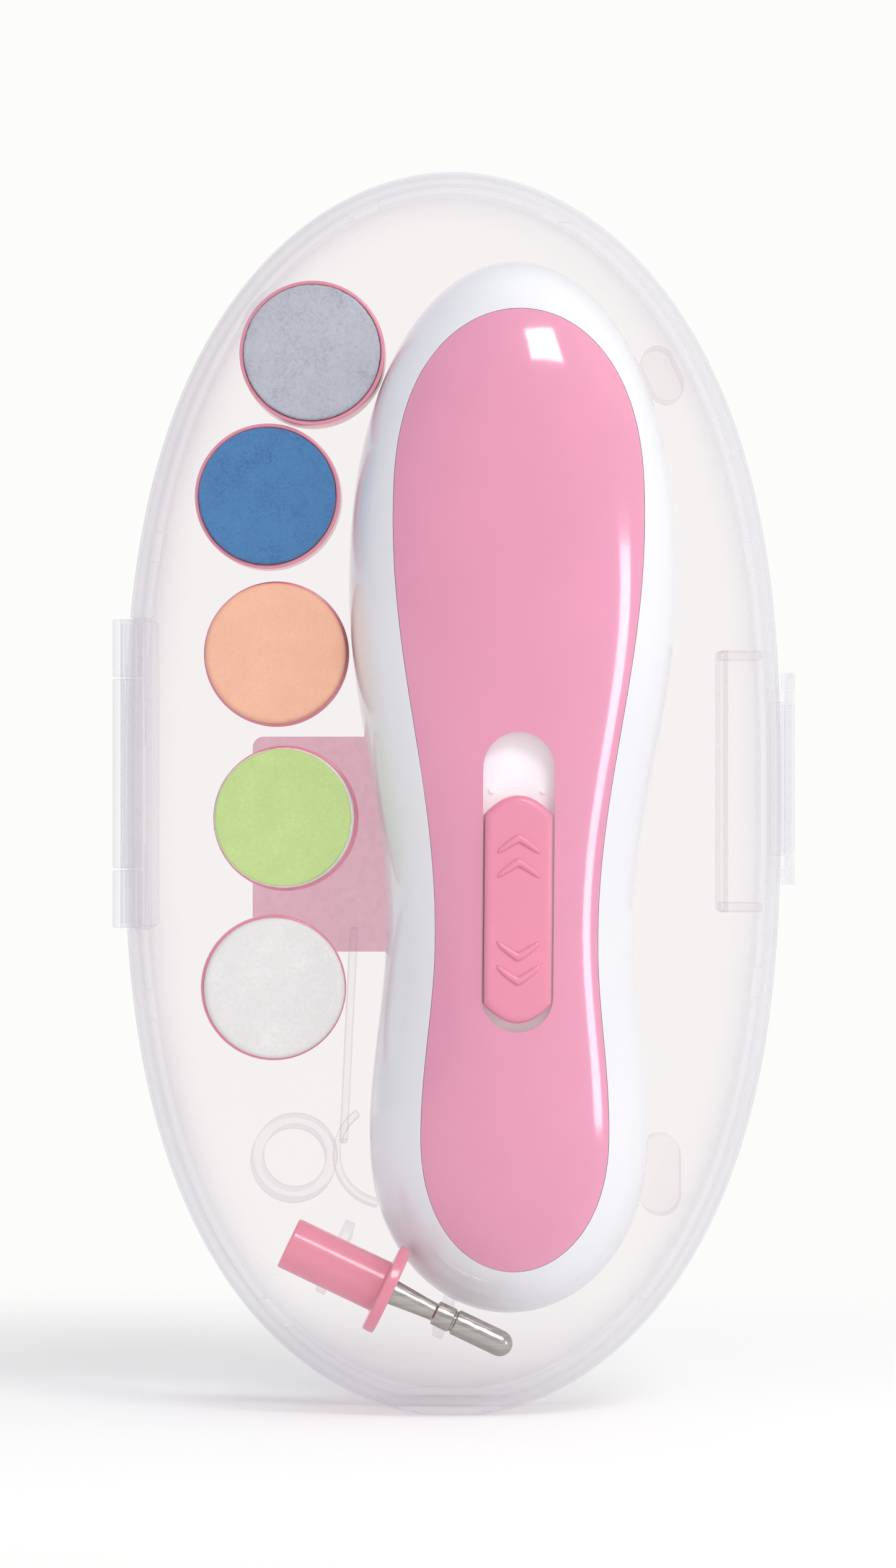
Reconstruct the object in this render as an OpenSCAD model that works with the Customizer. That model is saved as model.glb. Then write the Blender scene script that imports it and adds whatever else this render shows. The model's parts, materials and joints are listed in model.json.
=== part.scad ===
// Battery nail and callus grinder with its heads, in a clear oval case.
// Upright on a small foot: X to the right, Y to the back, Z up, millimetres.

/* [Case] */
// Width of the closed case across its oval wall
case_w = 88.2; // [84:0.2:92]
// Height of the case, standing on its foot
case_h = 165.6; // [160:0.2:170]
// How far the oval would reach below the flat foot
foot_cut = 1.2; // [0.8:0.1:1.6]
// Depth of the base half, and of the lid half
half_d = 19; // [18.5:0.1:20]
// Wall thickness of the case
wall = 1.5; // [1.2:0.1:1.8]
// Length of the hinge block
hinge_len = 41.4; // [30:0.2:50]
// Radius of the hinge knuckles
knuckle_r = 2; // [1.8:0.1:2.2]
// Length of the latch flap
latch_len = 28.2; // [20:0.2:34]

/* [Unit] */
// Length of the handheld unit
unit_len = 141.4; // [138:0.2:143]
// Half width at the round bulb, near the nose
bulb_hw = 18.75; // [18:0.05:19]
// Half width at the waist
waist_hw = 16.7; // [16.2:0.05:17]
// Half width at the shoulder
shoulder_hw = 22.1; // [21.5:0.05:22.4]
// Half thickness of the unit
unit_ht = 15; // [14.8:0.1:15.2]
// Wall thickness of the unit's shells
shell_t = 1.6; // [1.4:0.1:1.8]
// Lean of the unit in the case, in degrees
unit_tilt = 0.45; // [0:0.05:0.6]
// Roll of the unit about its length, in degrees
unit_roll = 3.3; // [0:0.1:4]

/* [Button] */
// Width of the slide button
button_w = 9; // [8:0.1:9.2]
// Length of the slide button
button_len = 30.2; // [26:0.2:31]
// Length of the slot that the button slides in
slot_len = 39.8; // [39:0.2:40]

/* [Heads] */
// Diameter of a grinding pad
pad_d = 18.9; // [18:0.1:19.5]
// Diameter of the moulded base under a pad
head_base_d = 19.6; // [19:0.1:19.8]
// Diameter of a head's stem
stem_d = 7.06; // [6.8:0.02:7.1]
// Length of a head's stem
stem_len = 13; // [11:0.1:13.2]
// Bore of a storage tube
tube_id = 8.5; // [8.4:0.1:8.8]
// Outside diameter of a storage tube
tube_od = 11.6; // [11:0.1:12]

/* [Hidden] */
$fn = 48;

// Case: centre of the oval, exponents of its superellipse, and its rings
case_a = case_w / 2;
case_b = (case_h + foot_cut) / 2;
case_cz = case_h - case_b;
side_e = 2 / 1.95;
end_e = 2 / 2.65;
ring_n = 60;
draft = 0.9;
corner_r = 7.5;
corner_s = half_d - corner_r;
lid_flat = corner_s + 7;
tongue_h = 2;
tongue_in = 2.8;
seat_gap = 0.3;

// Hinge and latch, both on axes parallel to Z
hinge_x = -43.67;
hinge_z = 85;
hinge_pin_r = 0.9;
notch = knuckle_r + 0.35;
knuckle_gap = 0.3;
base_knuckle = 7.7;
latch_x = 44.7;
latch_y = -7.5;
latch_z = 84.3;
latch_r = 0.95;
latch_pin_r = 0.45;
latch_reach = 4.6;
latch_out = 45.65;
ear_len = 1.6;
catch_x = 44.75;

// Pad faces as [x, z, lean to the left, lean upward], in millimetres and degrees
tube_top = 4.5;
floor_y = half_d - wall;
heads = [[-18.9, 141.6, 2.5, 5], [-24.9, 122.3, 3, 2.5], [-23.8, 101.2, 1.5, 1.5],
    [-22.8, 79.1, 5, 1.5], [-23.8, 56.2, -4.5, 0.3]];
empty_tube = [-21.5, 32.8];
pivot_y = 11;
flange_y = 3.7;
flange_t = 2;
pad_t = 3.2;

// Unit frame: its own axis runs along Z from the nose (0) to the tail (unit_len)
unit_at = [7.4, 1.2, 12.5];
bulb_u = 24;
waist_u = 52;
shoulder_u = 98;
spine_top = 118;
section_e = 2.3;
panel_at = 6.25;
panel_end = 134.3;
panel_bulb_u = 24.4;
panel_waist_u = 50.7;
panel_shoulder_u = 106.5;
panel_bulb = 12.5;
panel_waist = 10.8;
panel_shoulder = 16.75;
gap = 0.12;
slot_u = 38.2;
slot_w = button_w + 0.5;
button_u = 39.4;
button_top = unit_ht + 0.7;
carrier_y = -12.2;
// Screw bosses as [x, u, how deep they reach into the shell]
boss_at = [[-12.6, 62, 8.6], [12.6, 62, 8.6], [-13, 17, 7.9], [13, 17, 7.9]];
boss_r = 2;
door_hw = 14;
door_u = 72;
cell_r = 7.15;
cell_len = 49.2;
cell_x = 7.5;
cell_y = 0.5;
cell_u = 75;
motor_u = 20;
motor_len = 25;
motor_flat = 7.55;
socket_r = 4.4;
socket_len = 13;
bush_r = 5.6;
bush_u = 1.3;

// A bit that lies across the foot of the case
bit_at = [-21.85, -8.8, 22.6];
bit_slope = 25.5;
bit_stem = 13.7;

// ---------- shapes ----------

// A closed solid through a list of rings, which all have the same number of points
module skin(rings) {
    n = len(rings[0]);
    m = len(rings);
    polyhedron(
        points = [for (r = rings) each r],
        faces = concat(
            [[for (i = [n - 1 : -1 : 0]) i]],
            [for (k = [0 : m - 2], i = [0 : n - 1]) let (j = (i + 1) % n)
                each [[k * n + i, k * n + j, (k + 1) * n + j],
                    [k * n + i, (k + 1) * n + j, (k + 1) * n + i]]],
            [[for (i = [0 : n - 1]) (m - 1) * n + i]]));
}

// One ring of the oval, moved in by inset, at a depth, and flat below low
function oval(inset, y, low = 0) = [for (i = [0 : ring_n - 1])
    let (t = 360 * (i + 0.5) / ring_n, c = cos(t), s = sin(t))
    [sign(c) * (case_a - inset) * pow(abs(c), side_e), y,
        max(low, case_cz + sign(s) * (case_b - inset) * pow(abs(s), end_e))]];

// Rings round the rounded corner between wall and face
function corner(r, rise, side, low = 0) = [for (f = [0 : 18 : 90])
    oval(draft + (corner_r - r) + r * (1 - cos(f)), side * (corner_s + rise * sin(f)), low)];

// Half width at u: a bulb, a waist and a shoulder with rounded ends
function swell(u, u1, w1, u2, w2) = w1 + (w2 - w1) * (1 - cos(180 * (u - u1) / (u2 - u1))) / 2;
function cap(t, e) = sqrt(max(0, 1 - pow(t, e)));
function unit_hw(u) =
    u < bulb_u ? bulb_hw * cap((bulb_u - u) / bulb_u, 2.2)
    : u < waist_u ? swell(u, bulb_u, bulb_hw, waist_u, waist_hw)
    : u < shoulder_u ? swell(u, waist_u, waist_hw, shoulder_u, shoulder_hw)
    : shoulder_hw * cap((u - shoulder_u) / (unit_len - shoulder_u), 2.2);
function panel_hw(u) =
    u < panel_bulb_u ? panel_bulb * cap((panel_bulb_u - u) / (panel_bulb_u - panel_at), 2.2)
    : u < panel_waist_u ? swell(u, panel_bulb_u, panel_bulb, panel_waist_u, panel_waist)
    : u < panel_shoulder_u ? swell(u, panel_waist_u, panel_waist, panel_shoulder_u, panel_shoulder)
    : panel_shoulder * cap((u - panel_shoulder_u) / (panel_end - panel_shoulder_u), 2.6);

// Stations that crowd toward both ends of a length, so the round ends stay smooth
function stations(u1, u2, n) = [for (i = [0 : n]) u1 + (u2 - u1) * (1 - cos(180 * i / n)) / 2];
unit_us = stations(0, unit_len, 26);
function unit_loop() = concat([for (u = unit_us) [unit_hw(u), u]],
    [for (i = [len(unit_us) - 2 : -1 : 1]) [-unit_hw(unit_us[i]), unit_us[i]]]);
function spine(u) = min(max(u, bulb_u), spine_top);

// The unit's outline at one level: drawn in toward the spine, at a depth
function unit_ring(inset, level, side) = [for (p = unit_loop())
    let (v = [p.x, p.y - spine(p.y)], k = 1 - inset / norm(v), c = pow(cos(level), 2 / section_e),
        s = pow(sin(level), 2 / section_e))
    [v.x * k * c, side * (unit_ht - inset) * s, spine(p.y) + v.y * k * c]];
levels = [0, 12, 26, 42, 58, 72, 82];
module unit_half(side) {
    rings = concat([for (i = [len(levels) - 1 : -1 : 0]) unit_ring(shell_t, levels[i], side)],
        [for (l = levels) unit_ring(0, l, side)]);
    if (side > 0) skin(rings);
    else mirror([0, 1, 0]) skin([for (r = rings) [for (p = r) [p.x, -p.y, p.z]]]);
}

function panel_outline(g) = let (us = stations(panel_at, panel_end, 34))
    concat([for (u = us) [panel_hw(u) + (panel_hw(u) > 0 ? g : 0), u]],
        [for (i = [len(us) - 2 : -1 : 1]) [-panel_hw(us[i]) - g, us[i]]]);
// A solid through the unit's front, in its front view's outline
module through_front(y1, y2) {
    translate([0, y2, 0]) rotate([90, 0, 0]) linear_extrude(y2 - y1) children();
}
module round_slot(w, len) {
    translate([-w / 2, w / 2]) square([w, len - w]);
    for (v = [w / 2, len - w / 2]) translate([0, v]) circle(d = w);
}
module box(a, b) {
    translate(a) cube(b - a);
}
module rod(r, z1, z2) {
    translate([0, 0, z1]) cylinder(r = r, h = z2 - z1);
}
module y_rod(r, y1, y2) {
    translate([0, y2, 0]) rotate([90, 0, 0]) cylinder(r = r, h = y2 - y1);
}
module place_unit() {
    translate(unit_at) rotate([0, unit_tilt, unit_roll]) children();
}
// A head's own frame: origin on its tube's axis, stem toward +Y, leaning in the tube
function face_reach() = pivot_y - flange_y + flange_t + pad_t;
function tube_at(i) = [heads[i].x + face_reach() * sin(heads[i][2]),
    heads[i].y - face_reach() * sin(heads[i][3])];
module place_head(i) {
    translate([tube_at(i).x, pivot_y, tube_at(i).y])
        rotate([-heads[i][3], 0, -heads[i][2]]) translate([0, flange_y - pivot_y, 0]) children();
}
module place_bit() {
    translate(bit_at) rotate([0, 90 + bit_slope, 0]) children();
}
// A round tube along a list of points, such as a wire
function unit_v(v) = v / norm(v);
module tube_path(pts, r, sides) {
    n = len(pts);
    skin([for (i = [0 : n - 1])
        let (d = unit_v(pts[min(i + 1, n - 1)] - pts[max(i - 1, 0)]),
            a = unit_v(cross(d, [0.31, 0.17, 0.93])), b = cross(d, a))
        [for (k = [0 : sides - 1]) pts[i] + r * (cos(-360 * k / sides) * a
            + sin(-360 * k / sides) * b)]]);
}

// ---------- case ----------

// Knuckle r outside, with an arm back to the wall on one side and a pad inside it
module knuckle(z1, z2, side) {
    translate([hinge_x, 0, 0]) {
        rod(knuckle_r, z1, z2);
        mirror([0, side < 0 ? 1 : 0, 0]) box([-0.4, 0, z1], [1.4, 4, z2]);
    }
}
module hinge_pads(side) {
    z1 = hinge_z - hinge_len / 2;
    mirror([0, side < 0 ? 1 : 0, 0])
        box([hinge_x + 1.2, 3, z1], [hinge_x + 3.8, corner_s, z1 + hinge_len]);
}
module hinge_notch(side) {
    z1 = hinge_z - hinge_len / 2 - knuckle_gap;
    mirror([0, side < 0 ? 1 : 0, 0])
        box([hinge_x - 3, -3, z1], [hinge_x + 2.4, notch, z1 + hinge_len + 2 * knuckle_gap]);
}
module tongue_gaps() {
    for (p = [[-12, 161.5], [-40.2, 115.4], [-40.2, 54], [39.8, 114], [40, 57], [-23.5, 12.6],
            [23.5, 12.6], [14, 161]])
        box([p.x - 2, -tongue_h - 1, p.y - 2], [p.x + 2, -0.1, p.y + 2]);
}
module tubes() {
    for (p = concat([for (i = [0 : len(heads) - 1]) tube_at(i)], [empty_tube]))
        translate([p.x, 0, p.y]) difference() {
            y_rod(tube_od / 2, tube_top, floor_y + 0.1);
            y_rod(tube_id / 2, tube_top - 1, floor_y);
        }
}
// A thin upright wall on the tray's floor, from one point to another
module rib(a, b, t, y1) {
    d = b - a;
    translate([a.x, 0, a.y]) rotate([0, -atan2(d.y, d.x), 0])
        box([0, y1, -t / 2], [norm(d), floor_y + 0.1, t / 2]);
}
module post(x, z, w, len, lean, y1) {
    translate([x, 0, z]) rotate([0, lean, 0]) {
        box([-w / 2, y1, -(len - w) / 2], [w / 2, floor_y + 0.1, (len - w) / 2]);
        for (s = [-1, 1]) translate([0, 0, s * (len - w) / 2]) y_rod(w / 2, y1, floor_y + 0.1);
    }
}
module tray_walls() {
    rib([-13.4, 64], [-14.8, 35], 1, 6);
    translate([-9, floor_y + 0.1, 33.1]) rotate([90, 0, 0]) rotate([0, 0, 125])
        rotate_extrude(angle = 135) translate([6.3, 0]) square([1, 7]);
    post(28.5, 139.2, 4.4, 7.8, -25, 6);
    post(28.3, 30.4, 5.6, 11, 0, 10);
    for (z = [45, 110]) box([-2, 16.35, z - 0.75], [17, floor_y + 0.1, z + 0.75]);
    rib([36.6, 66.3], [36.6, 101.6], 1.2, 3.5);
    for (z = [66.3, 100.4]) box([36.2, 3.5, z], [41.8, 15.5, z + 1.2]);
}
// Two cradles that hold the bit's stem and its shank
module bit_cradles() {
    difference() {
        place_bit_line() {
            box([-4.4, -7.2, 6], [4.4, floor_y + 0.1, 7.4]);
            box([-1.2, -8.4, 22.6], [3, floor_y + 0.1, 24]);
        }
        place_bit() {
            rod(stem_d / 2 + 0.15, 0, 10);
            rod(1.8, 20, 26);
        }
    }
}
// The bit's place seen along Y: its local X runs across the bit, Z along it
module place_bit_line() {
    translate([bit_at.x, 0, bit_at.z]) rotate([0, 90 + bit_slope, 0]) children();
}
module case_base() {
    rings = concat(
        [for (i = [5 : -1 : 0]) corner(corner_r - wall, corner_r - wall, 1, wall)[i]],
        [oval(tongue_in, 3.2, 2.5), oval(tongue_in, -tongue_h, 2.5),
            oval(wall + seat_gap, -tongue_h, wall), oval(wall + seat_gap, 0, wall),
            oval(0, 0), oval(seat_gap, 6)],
        corner(corner_r, corner_r, 1));
    z1 = hinge_z - hinge_len / 2;
    color([0.95, 0.93, 0.94, 0.4]) difference() {
        union() {
            difference() {
                skin(rings);
                hinge_notch(1);
                tongue_gaps();
                back_label_box();
                place_head(0) y_rod(head_base_d / 2 + 0.35, -16, 0.2);
            }
            for (z = [z1, z1 + hinge_len - base_knuckle]) knuckle(z, z + base_knuckle, 1);
            hinge_pads(1);
            box([42.6, 0.9, 74], [catch_x, 2.2, 94.6]);
            tubes();
            tray_walls();
            bit_cradles();
        }
        translate([hinge_x, 0, 0]) rod(hinge_pin_r, z1 - 1, z1 + hinge_len + 1);
    }
}
module case_lid() {
    rings = concat(
        [oval(30, half_d - wall), oval(20, half_d - wall - 0.1)],
        [for (i = [5 : -1 : 0]) corner(corner_r - wall, lid_flat - corner_s - wall, 1, 1.2)[i]],
        [oval(wall, 0, 1.2), oval(0, 0), oval(seat_gap, 6)],
        corner(corner_r, lid_flat - corner_s, 1),
        [oval(20, half_d - 0.1), oval(30, half_d)]);
    z1 = hinge_z - hinge_len / 2;
    color([0.95, 0.95, 0.97, 0.3]) difference() {
        union() {
            difference() {
                mirror([0, 1, 0]) skin(rings);
                hinge_notch(-1);
            }
            knuckle(z1 + base_knuckle + knuckle_gap, z1 + hinge_len - base_knuckle - knuckle_gap, -1);
            hinge_pads(-1);
            for (z = ear_zs()) {
                box([42.4, latch_y - latch_r, z], [latch_x, latch_y + latch_r, z + ear_len]);
                translate([latch_x, latch_y, 0]) rod(latch_r, z, z + ear_len);
            }
        }
        translate([hinge_x, 0, 0]) rod(hinge_pin_r + 0.05, z1 - 1, z1 + hinge_len + 1);
        translate([latch_x, latch_y, 0]) rod(latch_pin_r, latch_z - 20, latch_z + 20);
    }
}
function ear_zs() = [latch_z - latch_len / 2 + 2.4, latch_z + latch_len / 2 - 2.4 - ear_len];
module case_latch() {
    z1 = latch_z - latch_len / 2;
    color([0.93, 0.94, 0.96, 0.5]) difference() {
        union() {
            translate([latch_x, latch_y, 0]) rod(latch_r, z1, z1 + latch_len);
            translate([latch_x + 0.25, latch_y, z1]) rotate([90, 0, 90])
                linear_extrude(latch_out - latch_x - 0.25) flap_outline();
            box([latch_x + 0.17, 2.7, z1 + 4], [latch_x + 0.4, 4.1, z1 + latch_len - 4]);
        }
        translate([latch_x, latch_y, 0]) rod(latch_pin_r + 0.05, z1 - 1, z1 + latch_len + 1);
        for (z = ear_zs()) box([latch_x - 2, latch_y - 1.4, z - 0.25],
            [latch_x + 2, latch_y + 1.4, z + ear_len + 0.25]);
    }
}
// The flap as it lies along the wall, with two rounded corners at its free edge
module flap_outline() {
    w = latch_reach - latch_y;
    r = 2.2;
    square([w - r, latch_len]);
    translate([0, r]) square([w, latch_len - 2 * r]);
    for (v = [r, latch_len - r]) translate([w - r, v]) circle(r);
}
module hinge_pin() {
    color([0.9, 0.91, 0.93, 0.6]) translate([hinge_x, 0, 0])
        rod(hinge_pin_r, hinge_z - hinge_len / 2 + 0.6, hinge_z + hinge_len / 2 - 0.6);
}
module latch_pin() {
    color([0.9, 0.91, 0.93, 0.6]) translate([latch_x, latch_y, 0])
        rod(latch_pin_r, ear_zs()[0], ear_zs()[1] + ear_len);
}
module back_label_box() {
    box([-27.5, half_d - 0.25, 60.5], [16, half_d + 0.01, 90.2]);
}
module back_label() {
    color([0.97, 0.78, 0.85]) box([-27.4, half_d - 0.25, 60.6], [15.9, half_d, 90.1]);
}

// ---------- handheld unit, in its own frame ----------

module nose_bore() {
    rod(bush_r, -2, 14.4);
}
module front_shell() {
    color([0.96, 0.96, 0.97]) place_unit() difference() {
        union() {
            difference() {
                unit_half(-1);
                through_front(-20, -5) polygon(panel_outline(gap));
            }
            for (b = boss_at) translate([b.x, 0, b.y]) y_rod(boss_r, -b.z, -0.05);
        }
        nose_bore();
        for (b = boss_at) translate([b.x, 0, b.y]) y_rod(0.9, -6, 1);
    }
}
module rear_shell() {
    color([0.95, 0.95, 0.96]) place_unit() difference() {
        union() {
            difference() {
                unit_half(1);
                box([-door_hw, 0, door_u], [door_hw, 20, unit_len + 5]);
            }
            for (b = boss_at) translate([b.x, 0, b.y]) y_rod(boss_r + 0.6, 0.05, b.z);
            for (u = [23, 40]) box([-6, motor_flat + 0.05, u], [6, 13.7, u + 1.4]);
        }
        nose_bore();
        for (b = boss_at) translate([b.x, 0, b.y]) {
            y_rod(0.9, -1, 6);
            y_rod(2.1, 5, 20);
        }
    }
}
module front_panel() {
    color([0.94, 0.62, 0.75]) place_unit() difference() {
        intersection() {
            unit_half(-1);
            through_front(-20, -5) polygon(panel_outline(0));
        }
        through_front(-20, -5) translate([0, slot_u]) round_slot(slot_w, slot_len);
    }
}
// Button outline: straight sides and gently arched ends
function arch(x) = 2.6 * (1 - pow(2 * x / button_w, 2));
module button_outline() {
    xs = [for (i = [0 : 12]) button_w * (i / 12 - 0.5)];
    polygon(concat([for (x = xs) [x, 2.6 - arch(x)]],
        [for (i = [12 : -1 : 0]) [xs[i], button_len - 2.6 + arch(xs[i])]]));
}
module chevron(dir) {
    polygon([for (p = [[-2.85, -1], [0, 1], [2.85, -1], [2.85, -1.9], [0, 0.1], [-2.85, -1.9]])
        [p.x, dir * p.y]]);
}
module slide_button() {
    mid = button_u + button_len / 2;
    color([0.95, 0.59, 0.7]) place_unit() {
        translate([0, 0, button_u]) through_front(-button_top, carrier_y) button_outline();
        for (s = [-1, 1], d = [5.7, 8.9]) translate([0, 0, mid + s * d])
            through_front(-button_top - 0.4, -button_top + 0.1) chevron(s);
    }
}
module switch_carrier() {
    color([0.97, 0.97, 0.97]) place_unit() {
        box([-6.2, carrier_y, 30.5], [6.2, carrier_y + 1, 80.5]);
        box([-0.7, carrier_y + 0.9, 50], [0.7, -9.9, 52.5]);
        for (x = [-3.4, 3.4]) translate([x, 0, button_u + button_len + 0.7])
            y_rod(0.4, carrier_y - 0.4, carrier_y + 0.1);
    }
}
module battery_door() {
    color([0.95, 0.95, 0.96]) place_unit() intersection() {
        unit_half(1);
        box([-door_hw + 0.15, 0.15, door_u + 0.15], [door_hw - 0.15, 20, unit_len + 5]);
    }
}
// Two cells side by side, one each way up
module battery_cells() {
    color([0.75, 0.75, 0.72]) place_unit() for (s = [-1, 1]) translate([s * cell_x, cell_y, 0]) {
        rod(cell_r, cell_u, cell_u + cell_len);
        if (s < 0) rod(2.7, cell_u - 1.2, cell_u + 0.1);
        else rod(2.7, cell_u + cell_len - 0.1, cell_u + cell_len + 1.2);
    }
}
module coil(z1, z2, r1, r2, turns) {
    n = turns * 12;
    tube_path([for (i = [0 : n]) [(r1 + (r2 - r1) * i / n) * cos(30 * i),
        (r1 + (r2 - r1) * i / n) * sin(30 * i), z1 + (z2 - z1) * i / n]], 0.35, 5);
}
module battery_springs() {
    color("silver") place_unit() {
        translate([cell_x, cell_y, 0]) coil(72.1, 74.6, 4.6, 3, 2.5);
        translate([-cell_x, cell_y, 0]) coil(126.9, 124.6, 4.6, 3, 2.5);
    }
}
module contact_plates() {
    color("silver") place_unit() {
        box([3.2, -3.5, 71.2], [11.8, 4.5, 71.7]);
        box([-11.8, -3.5, 73.4], [-3.2, 4.5, 73.8]);
        box([-11.8, -3.5, 71.2], [-3.2, -3, 73.5]);
        box([-11.8, -3.5, 127.3], [11.8, 4.5, 127.8]);
        box([5, -3.5, 125.4], [10, 4.5, 125.8]);
        box([5, -3.5, 125.4], [10, -3, 127.4]);
    }
}
module battery_tray() {
    color([0.9, 0.9, 0.9]) place_unit() {
        through_front(-8.3, -7.1) polygon([[-13, 70], [13, 70], [13, 121], [9, 129],
            [-9, 129], [-13, 121]]);
        box([-14, -7.2, 69.8], [14, 8, 71.2]);
        box([-12.1, -7.2, 127.8], [12.1, 6, 129.2]);
        box([-0.3, -7.2, 71], [0.3, 3, 127.2]);
    }
}
module switch_board() {
    color([0.2, 0.45, 0.25]) place_unit() box([-7, -9, 34], [7, -8, 68.5]);
}
module switch_body() {
    color([0.25, 0.25, 0.27]) place_unit() difference() {
        box([-2.4, -10.9, 47], [2.4, -9, 67]);
        box([-0.9, -11, 48.5], [0.9, -9.7, 65.5]);
    }
}
module flatted(r, flat, u1, u2) {
    intersection() {
        rod(r, u1, u2);
        box([-r - 1, -flat, u1 - 1], [r + 1, flat, u2 + 1]);
    }
}
module motor_can() {
    color("silver") place_unit() difference() {
        union() {
            flatted(10.1, motor_flat, motor_u, motor_u + motor_len);
            rod(3, motor_u - 1.4, motor_u + 0.1);
        }
        flatted(9.4, motor_flat - 0.7, motor_u + 0.8, motor_u + motor_len + 1);
        rod(1.05, motor_u - 3, motor_u + 3);
    }
}
module motor_magnets() {
    color([0.3, 0.3, 0.32]) place_unit() for (s = [-1, 1]) intersection() {
        difference() {
            rod(9.35, motor_u + 4, motor_u + 21);
            rod(6.8, motor_u, motor_u + 25);
        }
        box([s < 0 ? -12 : 4, -5, 0], [s < 0 ? -4 : 12, 5, 60]);
    }
}
module motor_end_cap() {
    u1 = motor_u + motor_len;
    color([0.95, 0.95, 0.93]) place_unit() difference() {
        flatted(10.1, motor_flat, u1, u1 + 2.5);
        rod(1.05, u1 - 1, u1 + 1.6);
    }
}
module motor_rotor() {
    color([0.72, 0.45, 0.25]) place_unit() difference() {
        union() {
            rod(6.3, motor_u + 5, motor_u + 19);
            rod(2.6, motor_u + 18, motor_u + 23.5);
        }
        rod(1, motor_u, motor_u + 30);
    }
}
module motor_shaft() {
    color("silver") place_unit() rod(1, 15.2, motor_u + motor_len + 1.4);
}
module drive_spindle() {
    color([0.85, 0.85, 0.86]) place_unit() difference() {
        union() {
            rod(1.4, 2.5, 15);
            rod(3.4, 14.8, 17.4);
        }
        rod(1, 15.2, 18);
    }
}
module nose_bush() {
    color([0.9, 0.9, 0.92]) place_unit() difference() {
        rod(bush_r, bush_u, 14.4);
        rod(socket_r, bush_u - 1, socket_len);
        rod(1.5, 10, 16);
    }
}
module lead_red() {
    color("red") place_unit() {
        tube_path([[-8, -2, 69.7], [-8, -2, 67], [-7.5, -2.5, 63], [-6, -4.5, 59],
            [-5, -6.6, 57], [-5, -7.9, 56.4]], 0.55, 6);
        tube_path([[5, -7.9, 54], [5, -6.4, 53.6], [4.6, -3.5, 52], [4, -1, 50],
            [4, 0, 47.6]], 0.55, 6);
    }
}
module lead_black() {
    color([0.1, 0.1, 0.1]) place_unit()
        tube_path([[8, 1, 69.7], [8, 1.2, 67], [6, 1.8, 62], [1, 3, 56], [-3, 3, 51],
            [-4, 2.6, 47.6]], 0.55, 6);
}
module shell_screws() {
    color("silver") place_unit() for (b = boss_at) translate([b.x, 0, b.y]) {
        y_rod(0.9, -5.5, 5.1);
        y_rod(1.9, 5, 6.4);
    }
}

// ---------- grinding heads and the bit ----------

// A stem and a disc, and a rim of height cup round the pad where the head has one
module head_base(i, cup = 0) {
    color([0.93, 0.5, 0.64]) place_head(i) difference() {
        union() {
            y_rod(stem_d / 2, -0.1, stem_len);
            y_rod(head_base_d / 2, -flange_t - cup, 0);
        }
        y_rod(1.45, 1, stem_len + 1);
        if (cup > 0) y_rod(pad_d / 2 - 0.2, -flange_t - cup - 1, -flange_t);
    }
}
module head_pad(i, y1, y2, r = pad_d / 2) {
    place_head(i) y_rod(r, y1, y2);
}
pad_front = -flange_t - pad_t;
module grey_head_base() { head_base(0, 2.5); }
module grey_pad() { color([0.68, 0.68, 0.76]) head_pad(0, pad_front, -flange_t, pad_d / 2 - 0.2); }
module blue_head_base() { head_base(1, 2.5); }
module blue_pad() { color([0.25, 0.5, 0.73]) head_pad(1, pad_front, -flange_t, pad_d / 2 - 0.2); }
module orange_head_base() { head_base(2); }
module orange_pad() { color([0.98, 0.75, 0.64]) head_pad(2, pad_front, -flange_t); }
module green_head_base() { head_base(3); }
module green_foam_ring() { color([0.97, 0.97, 0.96]) head_pad(3, pad_front + 0.8, -flange_t); }
module green_pad() {
    color([0.78, 0.87, 0.6]) head_pad(3, pad_front, pad_front + 0.8, pad_d / 2 - 0.2);
}
module white_head_base() { head_base(4); }
module white_pad() { color([0.93, 0.92, 0.91]) head_pad(4, pad_front, -flange_t); }

module bit_holder() {
    color([0.94, 0.5, 0.62]) place_bit() difference() {
        union() {
            rod(stem_d / 2, 0, bit_stem + 0.1);
            rod(6.1, bit_stem, bit_stem + 1.6);
        }
        rod(1.45, -1, bit_stem - 2);
        rod(1.2, 0, bit_stem + 2);
    }
}
module metal_bit() {
    z1 = bit_stem + 1.6;
    color([0.7, 0.69, 0.67]) place_bit() {
        rod(1.2, bit_stem - 1.5, z1 + 0.1);
        translate([0, 0, z1]) cylinder(r1 = 1.7, r2 = 1.2, h = 6.4);
        rod(1.65, z1 + 6.3, z1 + 8.9);
        rod(1.45, z1 + 8.8, z1 + 9.3);
        rod(1.75, z1 + 9.2, z1 + 15.85);
        translate([0, 0, z1 + 15.85]) sphere(1.75);
    }
}

case_base();
case_lid();
case_latch();
hinge_pin();
latch_pin();
back_label();
front_shell();
rear_shell();
front_panel();
slide_button();
switch_carrier();
battery_door();
battery_cells();
battery_springs();
contact_plates();
battery_tray();
switch_board();
switch_body();
motor_can();
motor_magnets();
motor_end_cap();
motor_rotor();
motor_shaft();
drive_spindle();
nose_bush();
lead_red();
lead_black();
shell_screws();
grey_head_base();
grey_pad();
blue_head_base();
blue_pad();
orange_head_base();
orange_pad();
green_head_base();
green_foam_ring();
green_pad();
white_head_base();
white_pad();
bit_holder();
metal_bit();
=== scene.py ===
import json
import math

import bmesh
import bpy
from mathutils import Matrix, Vector
from mathutils.noise import noise as noise_value


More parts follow.
